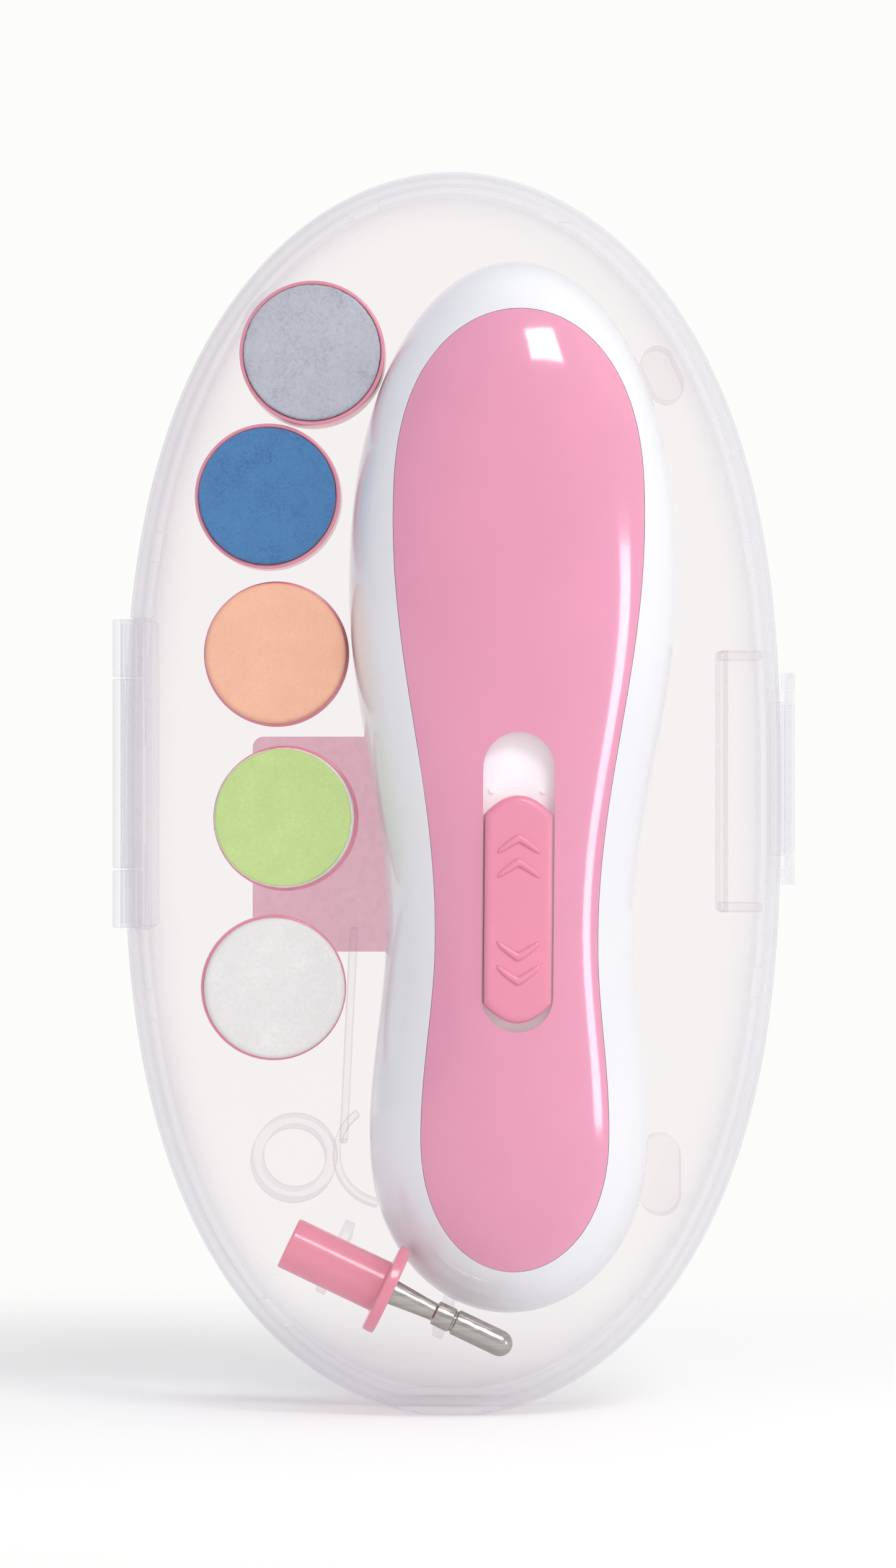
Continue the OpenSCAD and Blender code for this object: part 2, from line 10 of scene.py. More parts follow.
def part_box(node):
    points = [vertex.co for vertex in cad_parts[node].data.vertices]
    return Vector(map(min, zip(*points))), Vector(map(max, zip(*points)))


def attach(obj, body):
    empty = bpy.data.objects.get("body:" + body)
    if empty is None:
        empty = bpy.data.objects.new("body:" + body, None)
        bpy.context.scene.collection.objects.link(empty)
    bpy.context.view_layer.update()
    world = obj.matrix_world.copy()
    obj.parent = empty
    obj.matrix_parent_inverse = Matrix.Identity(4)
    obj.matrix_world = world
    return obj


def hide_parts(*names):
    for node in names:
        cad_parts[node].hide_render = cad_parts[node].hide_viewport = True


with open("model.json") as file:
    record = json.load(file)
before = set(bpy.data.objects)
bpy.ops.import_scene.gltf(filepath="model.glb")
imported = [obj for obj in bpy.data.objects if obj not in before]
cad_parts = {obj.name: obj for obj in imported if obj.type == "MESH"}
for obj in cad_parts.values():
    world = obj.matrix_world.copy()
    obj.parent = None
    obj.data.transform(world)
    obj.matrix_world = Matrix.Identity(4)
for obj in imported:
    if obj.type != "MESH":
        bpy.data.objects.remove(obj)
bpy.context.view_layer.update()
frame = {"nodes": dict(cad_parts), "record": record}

MM = 0.001

# ---------- driving sizes, in millimetres, as in the CAD model ----------

CASE_A = 44.1
CASE_B = 83.4
CASE_CZ = 82.2
SIDE_E = 2 / 1.95
END_E = 2 / 2.65
HALF_D = 19.0
WALL = 1.5
DRAFT = 0.9
CORNER_R = 7.5
CORNER_S = HALF_D - CORNER_R
RING_N = 300
TONGUE_IN = 2.8
TONGUE_OUT = 1.8
TONGUE_H = 2.0
FLOOR_Y = HALF_D - WALL
# middles (x, z) of the square gaps in the inner rim
RIM_GAPS = [(-12, 161.5), (-40.2, 115.4), (-40.2, 54), (39.8, 114), (40, 57), (-23.5, 12.6),
            (23.5, 12.6), (14, 161)]
GAP_HALF = 2

HINGE_X = -43.67
HINGE_Z = 85.0
HINGE_LEN = 41.4
HINGE_PLAY = 0.3
KNUCKLE_R = 2
KNUCKLE_BORE = 0.95
KNUCKLE_LEN = 7.7

LATCH_X = 44.7
LATCH_Y = -7.5
LATCH_Z = 84.3
LATCH_LEN = 28.2
LATCH_FOOT = 4.6
LATCH_CORNER = 2.2
LATCH_FACES = (44.95, 45.65)
LATCH_BARREL_R = 0.94
LATCH_BORE = 0.5
EAR_LEN = 1.6
EARS = (LATCH_Z - LATCH_LEN / 2 + 2.4, LATCH_Z + LATCH_LEN / 2 - 4)

HOOK_AT = (-9, 33.1)
HOOK_R = 6.3
HOOK_TOP = 10.6
LABEL_CORNER = 1.5
LABEL_FACES = (18.76, 18.98)

UNIT_AT = Vector((7.4, 1.2, 12.5))
UNIT_TILT = math.radians(0.45)
UNIT_ROLL = math.radians(3.3)
UNIT_LEN = 141.4
UNIT_HT = 15.0
SHELL_T = 1.6
SECTION_E = 2.3
BULB = (24.0, 18.75)
WAIST = (52.0, 16.7)
SHOULDER = (98.0, 22.1)
SPINE_TOP = 118.0
PANEL_ENDS = (6.25, 134.3)
PANEL_BULB = (24.4, 12.5)
PANEL_WAIST = (50.7, 10.8)
PANEL_SHOULDER = (106.5, 16.75)
SLOT_U = 38.2
SLOT_LEN = 39.8
SLOT_R = 4.75
BUTTON_W = 9.0
BUTTON_LEN = 30.2
BUTTON_U = 39.4
BUTTON_TOP = -15.7
BUTTON_FOOT = -12.2
DOOR_HW = 14.0
DOOR_U = 72.0
DOOR_GAP = 0.15
# places (x, u) of the screw holes in the unit's back
SCREWS = ((-12.6, 62), (12.6, 62), (-13, 17), (13, 17))
SCREW_HOLE_R = 2.1
SCREW_SEAT_Y = 5
# turns of the unit's section, in degrees, from its seam to its middle line
LEVELS = [0, 0.5, 4, 8, 13, 19, 25, 32, 39, 46, 53, 60, 66, 72, 77, 81, 84, 87, 88.8]

PAD_R = 9.45
CUP = 2.5
CUP_R = PAD_R - 0.2
BASE_R = 9.79
STEM_R = 3.53
STEM_BORE = 1.45
STEM_LEN = 13.0
FLANGE_Y = 3.7
FLANGE_T = 2.0
PAD_T = 3.2
PIVOT_Y = 11.0
TUBE_TOP = 4.5
TUBE_R = 5.8
TUBE_BORE = 4.25
# each head: name, place of its face (x, z), lean to the left and up in degrees
HEADS = [
    ("grey", -18.9, 141.6, 2.5, 5.0),
    ("blue", -24.9, 122.3, 3.0, 2.5),
    ("orange", -23.8, 101.2, 1.5, 1.5),
    ("green", -22.8, 79.1, 5.0, 1.5),
    ("white", -23.8, 56.2, -4.5, 0.3),
]
SPARE_TUBE = (-21.5, 32.8)
BIT_AT = Vector((-21.85, -8.8, 22.6))
BIT_SLOPE = math.radians(25.5)
BIT_STEM = 13.7
BIT_DISC_R = 6.1
BIT_DISC_T = 1.6
BIT_SHANK_R = 1.2
BIT_TIP_R = 1.75

# the studio's own sizes are in metres
FLOOR_R = 8
BACKDROP = (0.975, 0.975, 0.965)

UNIT = (Matrix.Translation(UNIT_AT) @ Matrix.Rotation(UNIT_ROLL, 4, "Z")
        @ Matrix.Rotation(UNIT_TILT, 4, "Y"))
BIT = Matrix.Translation(BIT_AT) @ Matrix.Rotation(math.pi / 2 + BIT_SLOPE, 4, "Y")


def tube_at(head):
    """Where a head's storage tube stands, from the place and the lean of its face."""
    reach = PIVOT_Y - FLANGE_Y + FLANGE_T + PAD_T
    x, z, left, up = head[1:]
    return x + reach * math.sin(math.radians(left)), z - reach * math.sin(math.radians(up))


def head_matrix(head):
    x, z = tube_at(head)
    return (Matrix.Translation((x, PIVOT_Y, z))
            @ Matrix.Rotation(-math.radians(head[3]), 4, "Z")
            @ Matrix.Rotation(-math.radians(head[4]), 4, "X")
            @ Matrix.Translation((0, FLANGE_Y - PIVOT_Y, 0)))


# ---------- materials ----------

def new_material(name):
    m = bpy.data.materials.new(name)
    m.use_nodes = True
    m.node_tree.nodes.clear()
    return m


def add(tree, kind, **values):
    n = tree.nodes.new(kind)
    for k, v in values.items():
        if k in n.inputs:
            n.inputs[k].default_value = v
        else:
            setattr(n, k, v)
    return n


def ramp(tree, source, stops):
    r = tree.nodes.new("ShaderNodeValToRGB")
    el = r.color_ramp.elements
    el[0].position, el[0].color = stops[0][0], (*stops[0][1], 1)
    el[1].position, el[1].color = stops[-1][0], (*stops[-1][1], 1)
    for p, c in stops[1:-1]:
        e = el.new(p)
        e.color = (*c, 1)
    tree.links.new(source, r.inputs["Fac"])
    return r.outputs["Color"]


def bumped(tree, height, shader, strength, distance):
    """Gives a shader a bump from a height socket."""
    b = add(tree, "ShaderNodeBump", Strength=strength, Distance=distance)
    tree.links.new(height, b.inputs["Height"])
    tree.links.new(b.outputs["Normal"], shader.inputs["Normal"])


def mixed(a, b, k):
    return tuple(p + (q - p) * k for p, q in zip(a, b))


def shade(c, k):
    return tuple(min(1.0, v * k) for v in c)


def noise(tree, scale, detail, rough=0.55):
    coord = add(tree, "ShaderNodeTexCoord")
    n = add(tree, "ShaderNodeTexNoise", Scale=scale, Detail=detail, Roughness=rough)
    tree.links.new(coord.outputs["Object"], n.inputs["Vector"])
    return n


def plastic(name, color, rough=0.25, coat=0.3, grain=900, bump=0.02, vary=0.04, subsurface=0.0,
            painted_glow=0.0):
    """Moulded plastic: faint cloudy colour, uneven gloss and a fine moulded skin, with an optional
    painted glow that lifts its shade.
    """
    m = new_material(name)
    t = m.node_tree
    out = add(t, "ShaderNodeOutputMaterial")
    b = add(t, "ShaderNodeBsdfPrincipled")
    b.inputs["IOR"].default_value = 1.5
    b.inputs["Coat Weight"].default_value = coat
    # painted glow: the surface gives off its own colour as light, though it is no lamp
    b.inputs["Emission Color"].default_value = (*color, 1)
    b.inputs["Emission Strength"].default_value = painted_glow
    b.inputs["Coat Roughness"].default_value = 0.06
    if subsurface:
        b.inputs["Subsurface Weight"].default_value = subsurface
        b.inputs["Subsurface Radius"].default_value = (0.004, 0.002, 0.002)
        b.inputs["Subsurface Scale"].default_value = 0.5
    cloud = noise(t, 55, 3)
    tones = [(0.25, shade(color, 1 - vary)), (0.75, shade(color, 1 + vary))]
    t.links.new(ramp(t, cloud.outputs["Fac"], tones), b.inputs["Base Color"])
    wear = noise(t, 160, 5)
    gloss = [(0.3, (rough * 0.8,) * 3), (0.8, (rough * 1.3,) * 3)]
    t.links.new(ramp(t, wear.outputs["Fac"], gloss), b.inputs["Roughness"])
    fine = noise(t, grain, 3)
    bumped(t, fine.outputs["Fac"], b, bump, 0.0002)
    t.links.new(b.outputs["BSDF"], out.inputs["Surface"])
    return m


def clear_plastic(name, tint, edge_tint, haze, body):
    """Thin clear moulding: see-through face on, greyer and glossier toward its edges."""
    m = new_material(name)
    t = m.node_tree
    out = add(t, "ShaderNodeOutputMaterial")
    see = add(t, "ShaderNodeBsdfTransparent")
    slant = add(t, "ShaderNodeLayerWeight", Blend=0.5)
    tints = [(0.1, tint), (0.55, mixed(tint, edge_tint, 0.35)), (0.97, edge_tint)]
    t.links.new(ramp(t, slant.outputs["Facing"], tints), see.inputs["Color"])
    b = add(t, "ShaderNodeBsdfPrincipled")
    b.inputs["Base Color"].default_value = (*body, 1)
    b.inputs["IOR"].default_value = 1.49
    b.inputs["Roughness"].default_value = 0.12
    edge = add(t, "ShaderNodeLayerWeight", Blend=0.22)
    cloud = noise(t, 32, 4)
    amount = add(t, "ShaderNodeMapRange")
    amount.inputs["To Min"].default_value = haze
    amount.inputs["To Max"].default_value = 0.55
    t.links.new(edge.outputs["Facing"], amount.inputs["Value"])
    mottle = add(t, "ShaderNodeMath", operation="MULTIPLY")
    t.links.new(amount.outputs["Result"], mottle.inputs[0])
    patches = [(0.3, (0.8,) * 3), (0.7, (1.15,) * 3)]
    t.links.new(ramp(t, cloud.outputs["Fac"], patches), mottle.inputs[1])
    mix = add(t, "ShaderNodeMixShader")
    t.links.new(mottle.outputs["Value"], mix.inputs["Fac"])
    t.links.new(see.outputs["BSDF"], mix.inputs[1])
    t.links.new(b.outputs["BSDF"], mix.inputs[2])
    ripple = noise(t, 70, 2)
    bumped(t, ripple.outputs["Fac"], b, 0.06, 0.0004)
    t.links.new(mix.outputs["Shader"], out.inputs["Surface"])
    return m


def fibre(name, color, fleck, scale, bump, rough=0.95, sheen=0.3):
    """Grit or felt: flecked colour over a rough, matted surface."""
    m = new_material(name)
    t = m.node_tree
    out = add(t, "ShaderNodeOutputMaterial")
    b = add(t, "ShaderNodeBsdfPrincipled", Roughness=rough)
    b.inputs["Sheen Weight"].default_value = sheen
    b.inputs["Sheen Roughness"].default_value = 0.5
    grains = noise(t, scale, 6, 0.7)
    broad = noise(t, scale / 9, 3)
    both = add(t, "ShaderNodeMath", operation="MULTIPLY_ADD")
    both.inputs[1].default_value = 0.65
    t.links.new(grains.outputs["Fac"], both.inputs[0])
    part = add(t, "ShaderNodeMath", operation="MULTIPLY")
    part.inputs[1].default_value = 0.35
    t.links.new(broad.outputs["Fac"], part.inputs[0])
    t.links.new(part.outputs["Value"], both.inputs[2])
    tones = [(0.33, fleck), (0.5, color), (0.7, shade(color, 1.12))]
    t.links.new(ramp(t, both.outputs["Value"], tones), b.inputs["Base Color"])
    bumped(t, both.outputs["Value"], b, bump, 0.0003)
    t.links.new(b.outputs["BSDF"], out.inputs["Surface"])
    return m


def metal(name, color, rough=0.25, grain=(60, 60, 2200), bump=0.05):
    """Ground or drawn metal: fine lines round it and patchy roughness."""
    m = new_material(name)
    t = m.node_tree
    out = add(t, "ShaderNodeOutputMaterial")
    b = add(t, "ShaderNodeBsdfPrincipled", Metallic=1.0)
    coord = add(t, "ShaderNodeTexCoord")
    stretch = add(t, "ShaderNodeMapping")
    stretch.inputs["Scale"].default_value = grain
    t.links.new(coord.outputs["Object"], stretch.inputs["Vector"])
    lines = add(t, "ShaderNodeTexNoise", Scale=1.0, Detail=3.0)
    t.links.new(stretch.outputs["Vector"], lines.inputs["Vector"])
    tones = [(0.3, shade(color, 0.86)), (0.7, shade(color, 1.08))]
    t.links.new(ramp(t, lines.outputs["Fac"], tones), b.inputs["Base Color"])
    gloss = [(0.3, (rough * 0.7,) * 3), (0.7, (rough * 1.4,) * 3)]
    t.links.new(ramp(t, lines.outputs["Fac"], gloss), b.inputs["Roughness"])
    bumped(t, lines.outputs["Fac"], b, bump, 0.0001)
    t.links.new(b.outputs["BSDF"], out.inputs["Surface"])
    return m


def film(name, color):
    """Printed film on the back: lets the light behind it through, with a faint paper grain."""
    m = new_material(name)
    t = m.node_tree
    out = add(t, "ShaderNodeOutputMaterial")
    face = add(t, "ShaderNodeBsdfPrincipled", Roughness=0.5)
    through = add(t, "ShaderNodeBsdfTransparent")
    grain = noise(t, 1200, 4)
    tone = ramp(t, grain.outputs["Fac"], [(0.3, shade(color, 0.97)), (0.7, shade(color, 1.03))])
    t.links.new(tone, face.inputs["Base Color"])
    t.links.new(tone, through.inputs["Color"])
    bumped(t, grain.outputs["Fac"], face, 0.08, 0.0001)
    mix = add(t, "ShaderNodeMixShader", Fac=0.25)
    t.links.new(through.outputs["BSDF"], mix.inputs[1])
    t.links.new(face.outputs["BSDF"], mix.inputs[2])
    t.links.new(mix.outputs["Shader"], out.inputs["Surface"])
    return m


CLEARS = {
    "clear_case": dict(tint=(0.986, 0.985, 0.985), edge_tint=(0.9, 0.905, 0.93), haze=0.01,
                       body=(0.9, 0.9, 0.92)),
    "clear_base": dict(tint=(0.986, 0.97, 0.973), edge_tint=(0.9, 0.895, 0.92), haze=0.015,
                       body=(0.9, 0.88, 0.9)),
    "clear_latch": dict(tint=(0.988, 0.986, 0.988), edge_tint=(0.955, 0.955, 0.968), haze=0.05,
                        body=(0.9, 0.9, 0.93)),
}
METALS = {
    "pin_steel": dict(color=(0.72, 0.72, 0.73)),
    "cell": dict(color=(0.72, 0.72, 0.7), rough=0.3),
    "contact_steel": dict(color=(0.78, 0.78, 0.76), rough=0.2),
    "motor_steel": dict(color=(0.66, 0.66, 0.67), rough=0.35),
    "copper": dict(color=(0.75, 0.38, 0.2), rough=0.35, grain=(900, 900, 60), bump=0.2),
    "bit_steel": dict(color=(0.5, 0.48, 0.45), rough=0.2, grain=(40, 40, 2600), bump=0.012),
}
PLASTICS = {
    "white_shell": dict(color=(0.86, 0.865, 0.89), rough=0.16, coat=0.6, grain=700, bump=0.012,
                        vary=0.015),
    "pink_panel": dict(color=(0.83, 0.32, 0.47), rough=0.14, coat=0.8, grain=700, bump=0.012,
                       vary=0.03),
    "pink_button": dict(color=(0.88, 0.3, 0.43), rough=0.34, coat=0.15, grain=1100, bump=0.05,
                        vary=0.03),
    # the slide carrier glows a little: painted light that brightens it where it sits in shade at the
    # bottom of the switch slot
    "white_inner": dict(color=(0.88, 0.88, 0.89), rough=0.35, coat=0.1, bump=0.04, vary=0.02,
                        painted_glow=0.22),
    "head_pink": dict(color=(0.86, 0.29, 0.39), rough=0.22, coat=0.4, bump=0.03, vary=0.05,
                      subsurface=0.25),
    "board": dict(color=(0.08, 0.3, 0.14), rough=0.4, grain=500, bump=0.1, vary=0.12),
    "magnet": dict(color=(0.1, 0.1, 0.11), rough=0.6, coat=0.0, grain=600, bump=0.3, vary=0.1),
    "black_plastic": dict(color=(0.03, 0.03, 0.035), rough=0.4, coat=0.0),
    "red_wire": dict(color=(0.6, 0.03, 0.03), rough=0.4, coat=0.0),
    "black_wire": dict(color=(0.02, 0.02, 0.02), rough=0.4, coat=0.0),
}
FIBRES = {
    "grey_abrasive": dict(color=(0.49, 0.5, 0.57), fleck=(0.36, 0.36, 0.42), scale=2300, bump=0.5),
    "blue_abrasive": dict(color=(0.055, 0.205, 0.45), fleck=(0.03, 0.13, 0.33), scale=2600,
                          bump=0.5),
    "orange_pad": dict(color=(0.93, 0.5, 0.34), fleck=(0.9, 0.46, 0.31), scale=2500, bump=0.12,
                       rough=0.7, sheen=0.1),
    "green_pad": dict(color=(0.55, 0.72, 0.27), fleck=(0.5, 0.68, 0.24), scale=2500, bump=0.12,
                      rough=0.65, sheen=0.1),
    "white_foam": dict(color=(0.88, 0.87, 0.84), fleck=(0.8, 0.79, 0.76), scale=1800, bump=0.4),
    "white_felt": dict(color=(0.83, 0.82, 0.8), fleck=(0.79, 0.78, 0.76), scale=2200, bump=0.15,
                       rough=0.85, sheen=0.15),
}
MAT = {"pink_label": film("pink_label", (0.96, 0.78, 0.84))}
for make, looks in ((clear_plastic, CLEARS), (metal, METALS), (plastic, PLASTICS), (fibre, FIBRES)):
    for name, values in looks.items():
        MAT[name] = make(name, **values)


# ---------- mesh tools ----------

def placed(name, data):
    """An object for a mesh, a light or a camera, linked into the scene."""
    o = bpy.data.objects.new(name, data)
    bpy.context.scene.collection.objects.link(o)
    return o


def raw_mesh(name, verts, faces, matrix, weld):
    """A mesh from millimetre points, with its faces turned outward."""
    me = bpy.data.meshes.new(name)
    if matrix is not None:
        verts = [matrix @ Vector(v) for v in verts]
    me.from_pydata([(v[0] * MM, v[1] * MM, v[2] * MM) for v in verts], [], faces)
    bm = bmesh.new()
    bm.from_mesh(me)
    if weld:
        bmesh.ops.remove_doubles(bm, verts=bm.verts, dist=1e-7)
    bmesh.ops.recalc_face_normals(bm, faces=bm.faces)
    bm.to_mesh(me)
    bm.free()
    return me


def mesh_object(name, verts, faces, body, slot, mat, matrix=None):
    """A piece from millimetre points, put in place, riding on a body."""
    me = raw_mesh(name, verts, faces, matrix, weld=True)
    me.materials.append(MAT[mat])
    me.shade_smooth()
    o = placed(name, me)
    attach(o, body)
    return o


def loft_data(rings, caps=True, closed=False):
    """Points and faces of a skin over rings that have the same number of points."""
    n = len(rings[0])
    verts = [p for r in rings for p in r]
    m = len(rings)
    faces = []
    for k in range(m if closed else m - 1):
        a, b = k * n, ((k + 1) % m) * n
        faces += [(a + i, a + (i + 1) % n, b + (i + 1) % n, b + i) for i in range(n)]
    if caps and not closed:
        faces += [tuple(range(n))[::-1], tuple((m - 1) * n + i for i in range(n))]
    return verts, faces


def bevel(o, width, segments=2, angle=32):
    b = o.modifiers.new("bevel", "BEVEL")
    b.width = width * MM
    b.segments = segments
    b.limit_method = "ANGLE"
    b.angle_limit = math.radians(angle)
    b.harden_normals = True
    b.use_clamp_overlap = True
    return o


def cut(o, tool):
    """Takes a closed tool shape out of a piece for good."""
    c = o.modifiers.new("cut", "BOOLEAN")
    c.operation = "DIFFERENCE"
    c.solver = "EXACT"
    c.object = tool
    bpy.context.view_layer.update()
    graph = bpy.context.evaluated_depsgraph_get()
    done = bpy.data.meshes.new_from_object(o.evaluated_get(graph))
    o.modifiers.clear()
    o.data = done
    bpy.data.objects.remove(tool)
    return o


def tool_object(verts, faces, matrix=None):
    """A closed shape used only to cut with."""
    return placed("tool", raw_mesh("tool", verts, faces, matrix, weld=False))


def box_data(a, b):
    x, y, z = zip(a, b)
    verts = [(x[i], y[j], z[k]) for i in (0, 1) for j in (0, 1) for k in (0, 1)]
    faces = [(0, 1, 3, 2), (4, 6, 7, 5), (0, 4, 5, 1), (2, 3, 7, 6), (0, 2, 6, 4), (1, 5, 7, 3)]
    return verts, faces


def lathe_data(profile, steps=96, axis="Y"):
    """A turned shape from (radius, height) points. It closes on itself if the profile does."""
    closed = profile[0] == profile[-1]
    pts = profile[:-1] if closed else profile
    rings = []
    for r, h in pts:
        ring = []
        for i in range(steps):
            a = 2 * math.pi * i / steps
            c, s = r * math.cos(a), r * math.sin(a)
            ring.append((c, h, s) if axis == "Y" else (c, s, h))
        rings.append(ring)
    return loft_data(rings, caps=not closed and min(pts[0][0], pts[-1][0]) > 0, closed=closed)


def rounded(profile, radius, steps=5):
    """The profile with each inner corner turned into an arc."""
    closed = profile[0] == profile[-1]
    pts = [Vector((p[0], p[1])) for p in (profile[:-1] if closed else profile)]
    n = len(pts)
    out = []
    for i, p in enumerate(pts):
        if not closed and i in (0, n - 1):
            out.append((p.x, p.y))
            continue
        a, b = pts[i - 1] - p, pts[(i + 1) % n] - p
        r = min(radius, a.length * 0.45, b.length * 0.45)
        a, b = p + a.normalized() * r, p + b.normalized() * r
        for k in range(steps + 1):
            t = k / steps
            q = a * (1 - t) ** 2 + p * 2 * t * (1 - t) + b * t ** 2
            out.append((q.x, q.y))
    if closed:
        out.append(out[0])
    return out


# ---------- case ----------

def oval(inset, y, low=0.0):
    """The case's outline, drawn in by an inset at one depth and cut off flat at a low height."""
    ring = []
    for i in range(RING_N):
        t = 2 * math.pi * (i + 0.5) / RING_N
        c, s = math.cos(t), math.sin(t)
        x = math.copysign((CASE_A - inset) * abs(c) ** SIDE_E, c)
        z = CASE_CZ + math.copysign((CASE_B - inset) * abs(s) ** END_E, s)
        ring.append((x, y, max(low, z)))
    return ring


def corner(r, rise, side, low=0.0):
    """Rings round the edge between the case's side and its face."""
    rings = []
    for k in range(11):
        f = math.radians(9 * k)
        inset = DRAFT + (CORNER_R - r) + r * (1 - math.cos(f))
        rings.append(oval(inset, side * (CORNER_S + rise * math.sin(f)), low))
    return rings


def case_piece(name, parts, body, slot="clear_case", mat="clear_case", width=0.2):
    return bevel(mesh_object(name, *parts, body, slot, mat), width)


def hinge_cut(shell, side):
    """The gap in a rim where the knuckles sit."""
    z1 = HINGE_Z - HINGE_LEN / 2 - HINGE_PLAY
    z2 = z1 + HINGE_LEN + 2 * HINGE_PLAY
    y1, y2 = (-3, 2.35) if side > 0 else (-2.35, 3)
    cut(shell, tool_object(*box_data((HINGE_X - 3, y1, z1), (HINGE_X + 2.4, y2, z2))))


def case_base():
    rings = corner(6, 6, 1, 1.5)[::-1]
    rings += [oval(TONGUE_IN, 3.2, 2.5), oval(TONGUE_IN, -1.6, 2.5),
              oval(TONGUE_IN - 0.2, -TONGUE_H, 2.3), oval(TONGUE_OUT + 0.2, -TONGUE_H, 1.7),
              oval(TONGUE_OUT, -1.7, 1.5), oval(TONGUE_OUT, 0, 1.5),
              oval(0.3, 0), oval(0, 0.3), oval(0.3, 6)]
    rings += corner(CORNER_R, CORNER_R, 1)
    shell = mesh_object("case_base_shell", *loft_data(rings), "case", "clear_case", "clear_base")
    hinge_cut(shell, 1)
    for x, z in RIM_GAPS:
        low, high = (x - GAP_HALF, -3, z - GAP_HALF), (x + GAP_HALF, -0.1, z + GAP_HALF)
        cut(shell, tool_object(*box_data(low, high)))
    relief_r = BASE_R + 0.36
    relief = lathe_data([(relief_r, -16), (relief_r, 0.2)], 144)
    cut(shell, tool_object(*relief, head_matrix(HEADS[0])))
    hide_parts("case_base")
    for i, head in enumerate(HEADS):
        tube(f"head_tube_{i + 1}", *tube_at(head))
    tube("head_tube_6", *SPARE_TUBE)
    knuckles("case_base", "case", 1, [(0, KNUCKLE_LEN), (HINGE_LEN - KNUCKLE_LEN, HINGE_LEN)])
    tray_walls()
    cradles()


def tube(name, x, z):
    wall = [(TUBE_R, TUBE_TOP), (TUBE_R, FLOOR_Y), (TUBE_BORE, FLOOR_Y), (TUBE_BORE, TUBE_TOP),
            (TUBE_R, TUBE_TOP)]
    m = Matrix.Translation((x, 0, z))
    mesh_object(name, *lathe_data(rounded(wall, 0.3)), "case", "clear_case", "clear_base", m)


def knuckles(name, body, side, spans):
    """Hinge barrels with their arms and the thick pad behind them."""
    z0 = HINGE_Z - HINGE_LEN / 2
    for i, (a, b) in enumerate(spans):
        z1, z2 = z0 + a, z0 + b
        barrel = [(KNUCKLE_R, z1), (KNUCKLE_R, z2), (KNUCKLE_BORE, z2), (KNUCKLE_BORE, z1),
                  (KNUCKLE_R, z1)]
        m = Matrix.Translation((HINGE_X, 0, 0))
        mesh_object(f"{name}_knuckle_{i + 1}", *lathe_data(rounded(barrel, 0.25), 48, "Z"), body,
                    "clear_case", "clear_latch", m)
        y1, y2 = sorted((side * 1.2, side * 4))
        arm = box_data((HINGE_X - 0.4, y1, z1), (HINGE_X + 1.4, y2, z2))
        case_piece(f"{name}_arm_{i + 1}", arm, body, mat="clear_latch")
    y1, y2 = sorted((side * 3, side * CORNER_S))
    hinge_pad = box_data((HINGE_X + 1.2, y1, z0), (HINGE_X + 3.8, y2, z0 + HINGE_LEN))
    case_piece(f"{name}_hinge_pad", hinge_pad, body, mat="clear_latch", width=0.4)


def rib_data(a, b, t, y1):
    """A straight wall on the floor between two (x, z) places."""
    d = Vector((b[0] - a[0], b[1] - a[1]))
    verts, faces = box_data((0, y1, -t / 2), (d.length, FLOOR_Y, t / 2))
    m = Matrix.Translation((a[0], 0, a[1])) @ Matrix.Rotation(-math.atan2(d.y, d.x), 4, "Y")
    return [m @ Vector(v) for v in verts], faces


def post_data(x, z, w, length, lean, y1):
    """A slot-shaped post standing on the floor."""
    ring = []
    for end in (1, -1):
        for k in range(17):
            a = math.pi * k / 16 + (0 if end > 0 else math.pi)
            ring.append((w / 2 * math.cos(a), end * (length - w) / 2 + w / 2 * math.sin(a)))
    m = Matrix.Translation((x, 0, z)) @ Matrix.Rotation(math.radians(lean), 4, "Y")
    rings = [[m @ Vector((p[0], y, p[1])) for p in ring] for y in (y1, FLOOR_Y)]
    return loft_data(rings)


def tray_walls():
    def wall(name, data):
        return case_piece(name, data, "case", mat="clear_base")

    wall("tray_rib", rib_data((-13.4, 64), (-14.8, 35), 1, 6))
    section = ((HOOK_R, HOOK_TOP), (HOOK_R + 1, HOOK_TOP), (HOOK_R + 1, FLOOR_Y), (HOOK_R, FLOOR_Y))
    arc = []
    for k in range(28):
        a = math.radians(125 + 5 * k)
        c, s = math.cos(a), math.sin(a)
        arc.append([(HOOK_AT[0] + r * c, y, HOOK_AT[1] + r * s) for r, y in section])
    wall("tray_hook_wall", loft_data(arc))
    wall("tray_post_top", post_data(28.5, 139.2, 4.4, 7.8, -25, 6))
    wall("tray_post_foot", post_data(28.3, 30.4, 5.6, 11, 0, 10))
    for i, z in enumerate((45, 110)):
        wall(f"unit_rest_{i + 1}", box_data((-2, 16.35, z - 0.75), (17, FLOOR_Y, z + 0.75)))
    wall("latch_pocket_wall", box_data((36, 3.5, 66.3), (37.2, FLOOR_Y, 101.6)))
    for i, z in enumerate((66.3, 100.4)):
        wall(f"latch_pocket_end_{i + 1}", box_data((36.2, 3.5, z), (41.8, 15.5, z + 1.2)))
    wall("catch_ridge", box_data((42.6, 0.9, 74), (44.7, 2.2, 94.6)))


def cradles():
    """Two ribs across the bit's line, each with a round notch for what lies in it."""
    line = (Matrix.Translation((BIT_AT.x, 0, BIT_AT.z))
            @ Matrix.Rotation(math.pi / 2 + BIT_SLOPE, 4, "Y"))
    ribs = [((-4.4, -7.2, 6), (4.4, FLOOR_Y, 7.4), STEM_R + 0.15),
            ((-1.2, -8.4, 22.6), (3, FLOOR_Y, 24), 1.8)]
    for i, (a, b, r) in enumerate(ribs):
        o = mesh_object(f"bit_cradle_{i + 1}", *box_data(a, b), "case", "clear_case", "clear_base",
                        line)
        cut(o, tool_object(*lathe_data([(r, 0), (r, 30)], 48, "Z"), BIT))
        bevel(o, 0.15)


